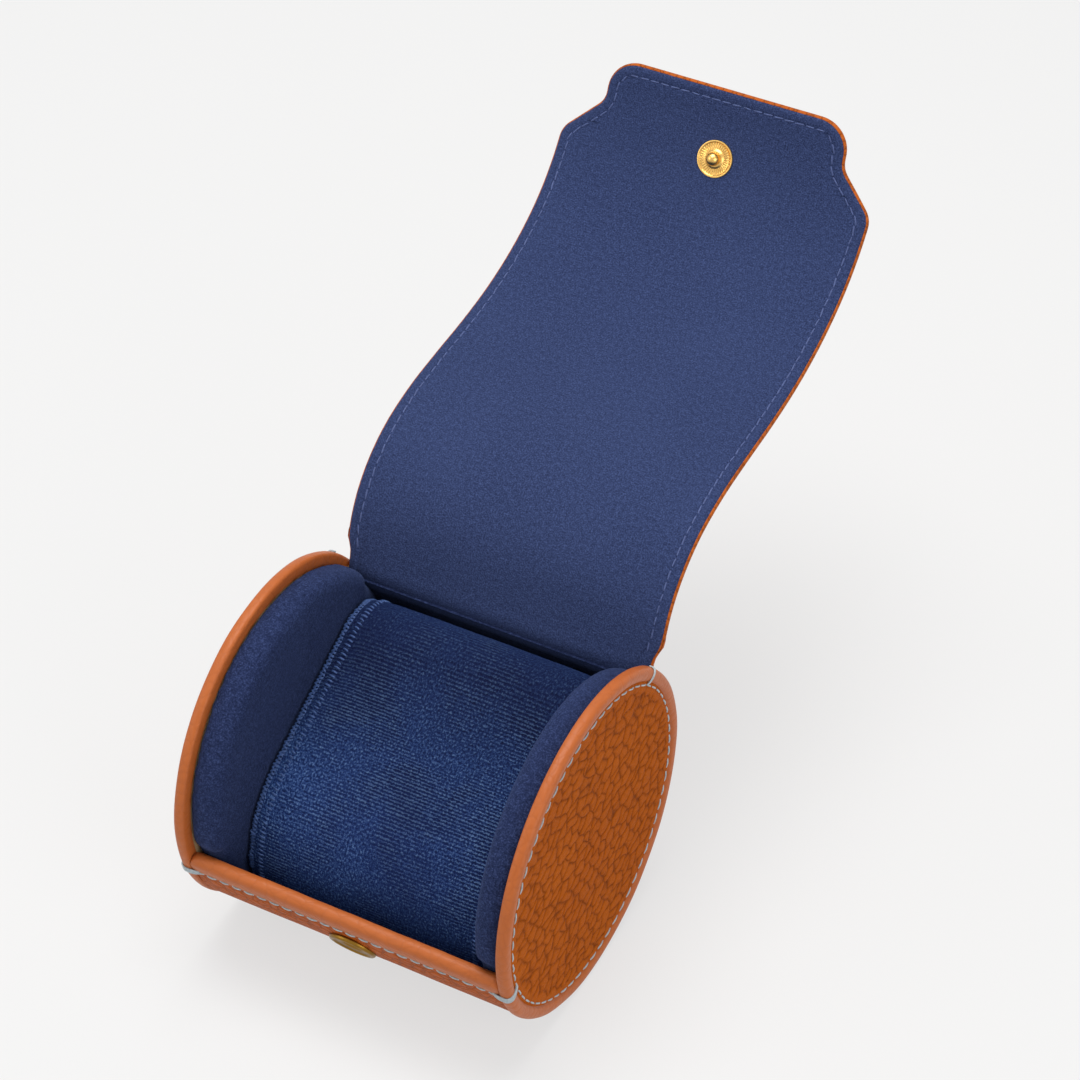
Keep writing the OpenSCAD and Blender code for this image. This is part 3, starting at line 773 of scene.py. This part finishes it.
def flat_rows(a, b):
    """Values of s for the rows of the strip from a to b. The rows crowd at the tip's edge."""
    rows = list(np.linspace(a, b, 13 if b < STRAIGHT_S else 25))
    if b == FLAP_L:
        rows = [s for s in rows if s < FLAP_L - 3.2] + [FLAP_L - d for d in INSETS[11::-1]]
    return rows


def flat_columns(s):
    half = half_width(s)
    inner = max(half - INSETS[-1], 2.0)
    left = [-(half - d) for d in INSETS[:-1]]
    return left + list(np.linspace(-inner, inner, 26)) + [-x for x in reversed(left)]


print("flap line ends at", [round(v, 1) for v in flap_line(FLAP_L)[0]])

# %% [markdown]
# Across its thickness the sheet is a sandwich. The leather wraps round the edge and shows as
# a narrow rounded band, and the suede lies on it with its own soft edge and a sunk stitch line.

# %% The flap's two layers
def leather_back(d):
    return np.interp(d, INSETS[:9], [0.05, -0.36, -0.62, -0.88, -1.08, -1.2, -1.3, -1.37, -1.4])


def leather_front(d):
    return np.interp(d, INSETS[:7], [0.05, 0.42, 0.66, 0.86, 0.8, 0.5, 0.35])


def suede_front(d):
    rise = np.interp(d, [0.28, 0.35, 0.5, 0.7, 0.95, 1.25, 1.6], [0.45, 0.72, 0.98, 1.16, 1.28, 1.36, 1.4])
    return rise - 0.2 * dip(d - SEW_IN, 0.32) + 0.06 * smoothstep(3.2, 5.5, d)


def suede_back(d):
    return np.interp(d, [0.28, 0.95], [0.45, 0.2])


def place_on_line(x, s, h):
    """Lifts flat points (x, s) by h out of the bent sheet."""
    out = np.zeros(x.shape + (3,))
    inside, outside = 1 + 0.5 * smoothstep(-0.5, -4.5, s), 1 + 0.27 * smoothstep(-1.0, -8.0, s)
    for i in range(x.shape[0]):
        point, way = flap_line(float(s[i, 0]))
        up_by = h[i] * np.where(h[i] > 0, inside[i], outside[i])
        out[i] = np.stack([x[i], point[0] - way[1] * up_by, point[1] + way[0] * up_by], -1)
    return to_frame(out).reshape(-1, 3)


def strip(name, a, b, front, back, material, slot, start_at=0.0):
    """One layer of the sheet from a to b, starting start_at inside the cut edge."""
    rows = flat_rows(a, b)
    x = np.array([flat_columns(s) for s in rows])
    s = np.array([[v] * x.shape[1] for v in rows])
    if start_at:
        half = np.array([half_width(v) for v in rows])[:, None]
        x = x * (half - start_at) / half
        s = np.minimum(s, FLAP_L - start_at)
    d = edge_distance(x, s)
    soft = 0.05 * soft_noise(x, s, 21, 26) * smoothstep(4, 12, d)
    verts = np.concatenate([place_on_line(x, s, side(d) + soft) for side in (front, back)])
    piece = make_piece(name, verts, sheet_faces(*x.shape), material, slot, 75)
    flat = np.stack([x / 200 + 0.5, s / 200 + 0.1], -1).reshape(-1, 2)
    map_cloth(piece.data, np.concatenate([flat, flat]))
    outward(piece.data, weld=True)
    return piece


def in_frame(s):
    return to_frame([0.0, *flap_line(s)[0]])


def ride_strip(piece, k):
    """Strip k lies on the bend between stretch k and stretch k + 1. The first starts on the drum."""
    if k == 0:
        in_frame(-3.5)
        in_frame(SEG / 2)
        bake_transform(piece)
    elif k < 11:
        in_frame((k - 0.5) * SEG)
        in_frame((k + 0.5) * SEG)
        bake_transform(piece)
    else:
        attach(piece, "flap_11")


# %% The flap's strips
cuts = [BASE_S] + [(k + 0.5) * SEG for k in range(11)] + [FLAP_L]
for k, (a, b) in enumerate(zip(cuts, cuts[1:])):
    skin = strip(f"flap_skin_{k}", a, b, leather_front, leather_back, flap_leather, "flap_leather")
    nap = strip(f"flap_nap_{k}", a, b, suede_front, suede_back, flap_suede, "suede", 0.28)
    if k < 11:
        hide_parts(f"flap_leather_{k + 1}", *(["hinge_strip"] if k == 0 else []))
        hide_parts(f"flap_lining_{k + 1}")
    ride_strip(skin, k)
    ride_strip(nap, k)
print(f"12 strips of leather and 12 of suede, the last of {len(skin.data.polygons)} faces")

# %% [markdown]
# A row of navy stitches runs all round the flap, about three millimetres inside its edge. It
# is cut at the same places as the sheet, so each strip carries its own stitches.

# %% The flap's stitches
def stitch_path():
    """Flat points (x, s) of the stitch line, up the right side, over the tip and down again."""
    right = [(half_width(s) - SEW_IN, s) for s in np.arange(0.5, 126.5, 1.0)]
    for s in np.linspace(126.5, FLAP_L - SEW_IN, 400):
        lo, hi = 0.0, 45.0
        for _ in range(24):
            mid = (lo + hi) / 2
            inside = float(edge_distance(np.array([mid]), np.array([s]))[0]) > SEW_IN and mid < half_width(s)
            lo, hi = (mid, hi) if inside else (lo, mid)
        right.append((lo, s))
    right = np.array(right)
    return np.concatenate([right, right[::-1] * np.array([-1, 1])])


STEP, PITCH = 0.25, 2.9                         # of the points on the line, and of the stitches
path = stitch_path()
run = np.concatenate([[0], np.cumsum(np.sqrt((np.diff(path, axis=0) ** 2).sum(1)))])
wanted = np.arange(0, run[-1], STEP)
path = np.stack([np.interp(wanted, run, path[:, 0]), np.interp(wanted, run, path[:, 1])], -1)


def sewn_point(x, s):
    point, way = flap_line(s)
    up_way = Vector((0, -way[1], way[0]))
    return Vector(to_frame([x, point[0], point[1]])) + up_way * 0.00124, up_way


for k, (a, b) in enumerate(zip(cuts, cuts[1:])):
    on_strip = [i for i, (x, s) in enumerate(path) if a <= s <= b]
    runs = [list(run) for run in np.split(on_strip, np.flatnonzero(np.diff(on_strip) > 1) + 1) if len(run)]
    if not runs:
        continue
    n = max(2, round(STEP * len(runs[0]) / PITCH))
    pad = STEP / 2 * len(runs[0]) / n
    lines = [[sewn_point(*path[i]) for j, i in enumerate(run) if pad <= j * STEP <= STEP * len(run) - pad] for run in runs]
    sewn = lay(f"flap_stitch_{k}", lines, navy_thread, "seam_thread", n, length=0.0021, thickness=0.00046,
               arch=0.0001, unevenness=0.12, seed=k)
    ride_strip(sewn, k)
print("flap stitches run", round(len(path) * STEP), "mm")

# %% [markdown]
# ## The snap
# The stud on the flap is a thin brass plate with a rolled rim, a crown of radial flutes and
# a ball in the middle. The socket on the drum is a ring with a shallow dish for the plate and
# a dark mouth for the ball. All are turned shapes, and the flutes come from the stitch tree
# with its piece turned across.

# %% Turned brass
def turned(name, section, place, axis, finish, segments=72):
    """Spins (radius, height) points in mm about an axis through a place in the frame."""
    turn_to = Vector(axis).to_track_quat("Z", "X").to_matrix()
    verts = []
    for i in range(segments):
        for r, h in section:
            verts.append(Vector(place) + turn_to @ Vector((*polar(r, 360 * i / segments), h)) * 0.001)
    if min(section[0][0], section[-1][0]) < 1:  # a solid piece, closed on its axis
        faces = turned_faces(segments, len(section))
    else:
        faces = grid_faces(segments, len(section), wrap_rows=True, wrap_cols=True)
    return make_piece(name, verts, faces, finish, "brass", 40)


stud_point, stud_way = flap_line(9.5 * SEG)
stud_up = Vector((0, -stud_way[1], stud_way[0]))
stud_middle = Vector(to_frame([0, *stud_point]))
stud_foot = stud_middle + stud_up * 0.0014
crown = [(0.05, 0.0), (4.62, 0.0), (4.7, 0.12), (4.7, 0.3), (4.62, 0.42), (4.45, 0.46), (4.25, 0.42), (4.12, 0.3),
         (4.0, 0.2), (3.4, 0.16), (2.7, 0.2), (2.35, 0.34), (2.1, 0.62), (1.85, 0.72), (1.6, 0.7), (1.4, 0.78), (1.35, 0.95)]
for a in np.linspace(-32, 88, 12):              # the ball, 1.75 mm in radius
    r, h = polar(1.75, a)
    crown.append((r, 1.45 + h))
fit(turned("stud_crown", crown, stud_foot, stud_up, brass), "flap_10", "stud")

cross, along = Vector((1, 0, 0)), Vector((0, *stud_way))
circle = []
for i in range(120):
    a = 2 * math.pi * i / 120
    circle.append((stud_foot + (cross * math.cos(a) + along * math.sin(a)) * 0.0032 + stud_up * 0.00024, stud_up))
flutes = lay("stud_flutes", [circle], brass, "brass", 36, closed=True, length=0.0017, thickness=0.00026, arch=0.00006,
             turn=math.pi / 2, unevenness=0.0)
fit(flutes, "flap_10")

dome = [(6.0, -0.1), (6.2, 0.0), (6.2, 0.12), (6.05, 0.3), (5.6, 0.52), (4.8, 0.78), (3.8, 1.0), (2.6, 1.18),
        (1.4, 1.27), (0.05, 1.3)]
button = turned("snap_cap", dome, stud_middle - stud_up * 0.0014, -stud_up, brass, 96)
fit(button, "flap_10", "stud_button")

# %% Socket on the drum
socket_out = Vector((0, *polar(1, SNAP_A)))
socket_foot = Vector(to_frame([0, *polar(42.1, SNAP_A)]))
ring = [(5.7, -0.1), (5.95, 0.15), (6.0, 0.5), (5.94, 0.8), (5.8, 1.02), (5.58, 1.18), (5.3, 1.25), (5.08, 1.21),
        (4.93, 1.1), (4.86, 0.95), (4.7, 0.87), (4.3, 0.84), (3.4, 0.8), (2.9, 0.66), (2.5, 0.36), (2.3, 0.0),
        (2.15, -0.5), (2.15, -1.4), (2.4, -1.8), (3.2, -1.8), (3.2, -0.1)]
fit(turned("socket_ring", ring, socket_foot, socket_out, aged_brass, 96), "drum", "socket")
kept = {"socket_spring": spring_steel, "socket_eyelet": aged_brass}
kept.update({node: board for node in ("drum_board", "left_cap_board", "right_cap_board")})
kept.update({node: foam for node in ("left_pad_foam", "right_pad_foam", "cushion_foam")})
for node, finish in kept.items():
    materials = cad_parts[node].data.materials
    materials.clear()
    materials.append(finish)

# %% [markdown]
# ## Pads and cushion
# Soft pieces are blown up like little balloons. The shape is remeshed into even cells and
# filled with pressure in a short cloth simulation. The stuffing then holds the cloth: each
# point is kept within a thin band round the shape that the piece was cut to. That shape is
# written as a distance, less than zero inside. The cloth solver is made for things a metre
# across, so the piece is swollen at ten times its size.

# %% Cloth that swells
def points_of(mesh):
    flat = np.zeros(len(mesh.vertices) * 3, np.float32)
    mesh.vertices.foreach_get("co", flat)
    return flat.reshape(-1, 3).astype(float)


def puffed(name, verts, faces, cell, cap, frames=20):
    """Swells a closed mesh, given in mm, and returns its new points (mm) and faces."""
    mesh = bpy.data.meshes.new(name)
    mesh.from_pydata([tuple(np.asarray(v, float) * 0.01) for v in verts], [], faces)
    outward(mesh)
    soft = add_object(name, mesh)
    remesh = soft.modifiers.new("remesh", "REMESH")
    remesh.mode, remesh.voxel_size = "VOXEL", cell * 0.01
    soft.data = baked(soft)
    start = points_of(soft.data)
    step = np.zeros(start.shape)
    cloth = soft.modifiers.new("cloth", "CLOTH")
    for key, value in (("quality", 4), ("mass", 0.3), ("tension_stiffness", 12), ("compression_stiffness", 12),
                       ("bending_stiffness", 1.2), ("use_pressure", True), ("uniform_pressure_force", 4.0)):
        setattr(cloth.settings, key, value)
    cloth.settings.effector_weights.gravity = 0
    cloth.collision_settings.use_collision = False
    cloth.point_cache.frame_start, cloth.point_cache.frame_end = 1, frames
    for f in range(1, frames + 1):
        bpy.context.scene.frame_set(f)
    seen = soft.evaluated_get(bpy.context.evaluated_depsgraph_get())
    step = points_of(seen.to_mesh()) - start
    seen.to_mesh_clear()
    bpy.context.scene.frame_set(1)
    far = np.linalg.norm(step, axis=1, keepdims=True)
    step = step * np.minimum(1, cap * 0.01 / np.maximum(far, 1e-9))
    faces = [tuple(p.vertices) for p in soft.data.polygons]
    bpy.data.objects.remove(soft)
    print(f"{name}: {len(start)} points, swelled up to {far.max() * 100:.2f} mm, kept within {cap} mm")
    return (start + step) * 100, faces


def held(points, distance, low, high):
    """Moves points straight in or out until their distance lies between low and high."""
    p = points.copy()
    for _ in range(3):
        d = distance(p)
        slope = np.stack([distance(p + e) - distance(p - e) for e in np.eye(3) * 0.02], -1) / 0.04
        size = np.maximum(np.linalg.norm(slope, axis=1, keepdims=True), 0.5)
        p -= slope / size ** 2 * (d - np.clip(d, low, high))[:, None]
    return p


def rounded(a, b, r):
    """Distance to a corner of two walls, a and b being the distances past each, rounded by r."""
    a, b = a + r, b + r
    return np.minimum(np.maximum(a, b), 0) + np.hypot(np.maximum(a, 0), np.maximum(b, 0)) - r


def soft_piece(name, points, faces, material, slot):
    piece = make_piece(name, to_frame(points), faces, material, slot, 180)
    smooth = piece.modifiers.new("smooth", "SUBSURF")
    smooth.levels = smooth.render_levels = 1
    piece.data = baked(piece)
    piece.data.polygons.foreach_set("use_smooth", [True] * len(piece.data.polygons))
    return piece


# %% End pads
PAD_ROUND = 3.3


def pad_radius(a):
    """A pad fills the wall, and swells past it in the open mouth."""
    mouth = smoothstep(37.5, 43.0, a) * (1 - smoothstep(186.0, 190.5, a))
    return 39.0 + 1.75 * mouth


def pad_distance(side):
    def distance(p):
        r, a = np.hypot(p[:, 1], p[:, 2]), np.degrees(np.arctan2(p[:, 2], p[:, 1])) % 360
        x = side * p[:, 0]
        dimple = 0.16 * soft_noise(p[:, 1], p[:, 2], 31 + side, 22) * smoothstep(0, 6, 38 - r)
        return np.maximum(rounded(r - pad_radius(a), PAD_FACE - dimple - x, PAD_ROUND), x - 40.97)
    return distance


def pad_shape(side, inset, segments=120):
    verts = []
    arc = [(math.cos(t), math.sin(t)) for t in np.linspace(math.pi / 2, 0, 7)]
    for i in range(segments):
        a = 360 * i / segments
        reach, face = float(pad_radius(a)) - inset, PAD_FACE + inset
        points = [(reach * f, face) for f in (0.001, 0.3, 0.6)]
        points += [(reach - PAD_ROUND * (1 - c), face + PAD_ROUND * (1 - s)) for c, s in arc]
        points += [(reach, 40.9), (reach * 0.5, 40.9), (0.05, 40.9)]
        verts += [(side * x, *polar(r, a)) for r, x in points]
    return verts, turned_faces(segments, len(points))


for side, word in ((-1, "left"), (1, "right")):
    points, faces = puffed(word + " pad", *pad_shape(side, 0.2), 1.4, 0.8)
    pad = soft_piece(word + "_pad_suede_shaded", held(points, pad_distance(side), -0.12, 0.12), faces, pad_suede_shaded, "suede")
    fit(pad, "drum", word + "_pad_cover", word + "_pad_foam")

# %% [markdown]
# The cushion is a plump roll of plush that fills the drum and is flat-topped towards the
# mouth. Two overlocked seams run round each end, where the end panel is sewn in, and pull
# the cloth in a little.

# %% Cushion
MOUTH_A = 117.0
CUSH_R, CUSH_TOP, FRONT_ROUND, BACK_ROUND, CUSH_SIDE, CUSH_END = 38.8, 13.0, 24.0, 12.0, 37.1, 33.0
END_ROUND, SEAM_1, SEAM_2 = 2.2, 1.5, 4.2
LEAN = math.radians(MOUTH_A - 90)


def across_mouth(y, z):
    """Splits a place into how far it lies across the mouth and towards it."""
    return y * math.cos(LEAN) + z * math.sin(LEAN), z * math.cos(LEAN) - y * math.sin(LEAN)


def cushion_distance(p):
    u, v = across_mouth(p[:, 1], p[:, 2])
    crown = 0.7 * (1 - (p[:, 0] / CUSH_END) ** 2) * smoothstep(0, 10, v)
    corner = np.where(u > 0, BACK_ROUND, FRONT_ROUND)
    section = np.maximum(rounded(np.abs(u) - CUSH_SIDE, v - crown - CUSH_TOP, corner), np.hypot(u, v) - CUSH_R)
    in_from_end = CUSH_END - np.abs(p[:, 0])
    pull = 0.3 * dip(in_from_end - 2.9, 0.8) + 0.25 * dip(in_from_end - 5.6, 0.8)
    lumps = 0.1 * soft_noise(p[:, 0] + 90, u * 1.3 + v, 77, 20)
    return rounded(section + pull - lumps, -in_from_end, END_ROUND)


def cushion_shape(inset, cols=150):
    """A barrel a little inside the cushion, one ring of points for each station along X."""
    verts = []
    stations = np.concatenate([[-CUSH_END + inset], np.linspace(-CUSH_END + 1.6, CUSH_END - 1.6, 23), [CUSH_END - inset]])
    turn = np.linspace(0, 2 * math.pi, cols, endpoint=False)
    for x in stations:
        lo, hi = np.zeros(cols), np.full(cols, 60.0)
        for _ in range(26):
            mid = (lo + hi) / 2
            u, v = mid * np.cos(turn), mid * np.sin(turn) - 12
            y, z = u * math.cos(LEAN) - v * math.sin(LEAN), u * math.sin(LEAN) + v * math.cos(LEAN)
            p = np.stack([np.full(cols, x), y, z], -1)
            inside = cushion_distance(p) < -inset
            lo, hi = np.where(inside, mid, lo), np.where(inside, hi, mid)
        verts.extend(p)
    return verts, tube_faces(len(stations), cols)


points, faces = puffed("cushion", *cushion_shape(0.35), 1.5, 1.2)
points = held(points, cushion_distance, -0.1, 0.12)
cushion = soft_piece("cushion_roll", points, faces, cushion_plush, "plush")
place = np.array([v.co for v in cushion.data.vertices])
u, v = across_mouth(place[:, 1], place[:, 2] - RIM_R / 1000)
around = np.arctan2(u, v + 0.024) * 0.036        # how far round the cushion, in metres
map_cloth(cushion.data, np.stack([place[:, 0] * 5, around * 5], -1))
fit(cushion, "cushion", "cushion_cover", "cushion_left_panel", "cushion_right_panel")

# %% Overlocked seams
plush_tree = BVHTree.FromPolygons([v.co for v in cushion.data.vertices], [tuple(p.vertices) for p in cushion.data.polygons])


def seam_line(x, lift):
    """A line round the cushion at x mm, on its real surface, found by casting rays at it."""
    middle = Vector(to_frame([x, 12 * math.sin(LEAN), -12 * math.cos(LEAN)]))
    line = []
    for i in range(240):
        away = Vector((0, *polar(1, 1.5 * i)))
        hit, normal, _, _ = plush_tree.ray_cast(middle + away * 0.08, -away)
        if hit is not None:
            normal = normal if normal.dot(away) > 0 else -normal
            line.append((hit + normal * lift, Vector((0, normal.y, normal.z)).normalized()))
    return line


for side, letter in ((-1, "l"), (1, "r")):
    outer, inner = seam_line(side * (CUSH_END - SEAM_1), 0.00005), seam_line(side * (CUSH_END - SEAM_2), 0.00002)
    for k, (line, turn, n, length) in enumerate([(outer, 1.05, 200, 0.0019), (outer, -1.05, 200, 0.0019), (inner, 1.35, 170, 0.0015)]):
        seam = lay(f"cushion_seam_{letter}{k}", [line], seam_thread, "seam_thread", n, closed=True, length=length,
                   thickness=0.0006 if k < 2 else 0.0005, arch=0.0003, turn=turn, unevenness=0.16, seed=k + 3)
        fit(seam, "cushion", *(["cushion_seams"] if letter == "l" and k == 0 else []))

# %% [markdown]
# ## Thick thread at the corners
# Where the lip meets the caps, the maker goes over the corner a few times with the same
# thread. The loops are bundles of round strands bent over the rim.

# %% Corner loops
def strand(name, path, radius, sides=8):
    """A round strand through points (x, radius, angle) around the drum."""
    knots = [Vector(to_frame([x, *polar(r, a)])) for x, r, a in path]
    fine = []
    ext = [knots[0] * 2 - knots[1], *knots, knots[-1] * 2 - knots[-2]]
    for i in range(1, len(ext) - 2):
        p0, p1, p2, p3 = ext[i - 1:i + 3]
        for t in np.linspace(0, 1, 7)[:-1]:
            curve = (2 * p0 - 5 * p1 + 4 * p2 - p3) * t * t + (3 * p1 - p0 - 3 * p2 + p3) * t ** 3
            fine.append(0.5 * (2 * p1 + (p2 - p0) * t + curve))
    fine.append(knots[-1])
    verts, normal = [], Vector((0.3, 0.2, 0.9))
    for i, p in enumerate(fine):
        way = (fine[min(i + 1, len(fine) - 1)] - fine[max(i - 1, 0)]).normalized()
        normal = (normal - way * normal.dot(way)).normalized()
        other = way.cross(normal)
        for j in range(sides):
            t = 2 * math.pi * j / sides
            verts.append(p + (normal * math.cos(t) + other * math.sin(t)) * radius * 0.001)
    fit(make_piece(name, verts, tube_faces(len(fine), sides), pale_thread, "thread", 180), "drum")


# Each place of a loop is (x, radius, angle, how far the strands spread there).
CORNER = [(39.2, 42.4, 198.3, 0.7), (40.1, 42.85, 198.2, 1.1), (41.6, 43.12, 198.0, 1.3), (43.2, 43.02, 197.9, 1.3),
          (43.95, 42.2, 197.8, 1.3), (44.05, 41.0, 197.7, 1), (43.75, 39.6, 197.6, 0.6), (43.3, 38.8, 197.5, 0.4)]
HINGE = [(43.3, 38.8, 48, 1), (43.75, 39.7, 47.8, 1), (44.05, 41.2, 47.5, 1), (43.85, 42.5, 47.2, 1),
         (43.2, 43.05, 47.0, 1), (42.2, 43.1, 46.7, 1)]
for side, word in ((-1, "left"), (1, "right")):
    for place, loop, strands, apart, radius in (("corner", CORNER, 4, 0.5, 0.24), ("hinge", HINGE, 2, 0.55, 0.2)):
        for k in range(strands):
            off = (k - (strands - 1) / 2) * apart
            strand(f"{word}_{place}_loop_{k}", [(side * x, r, a + off * spread) for x, r, a, spread in loop], radius)
print("corner loops sewn")
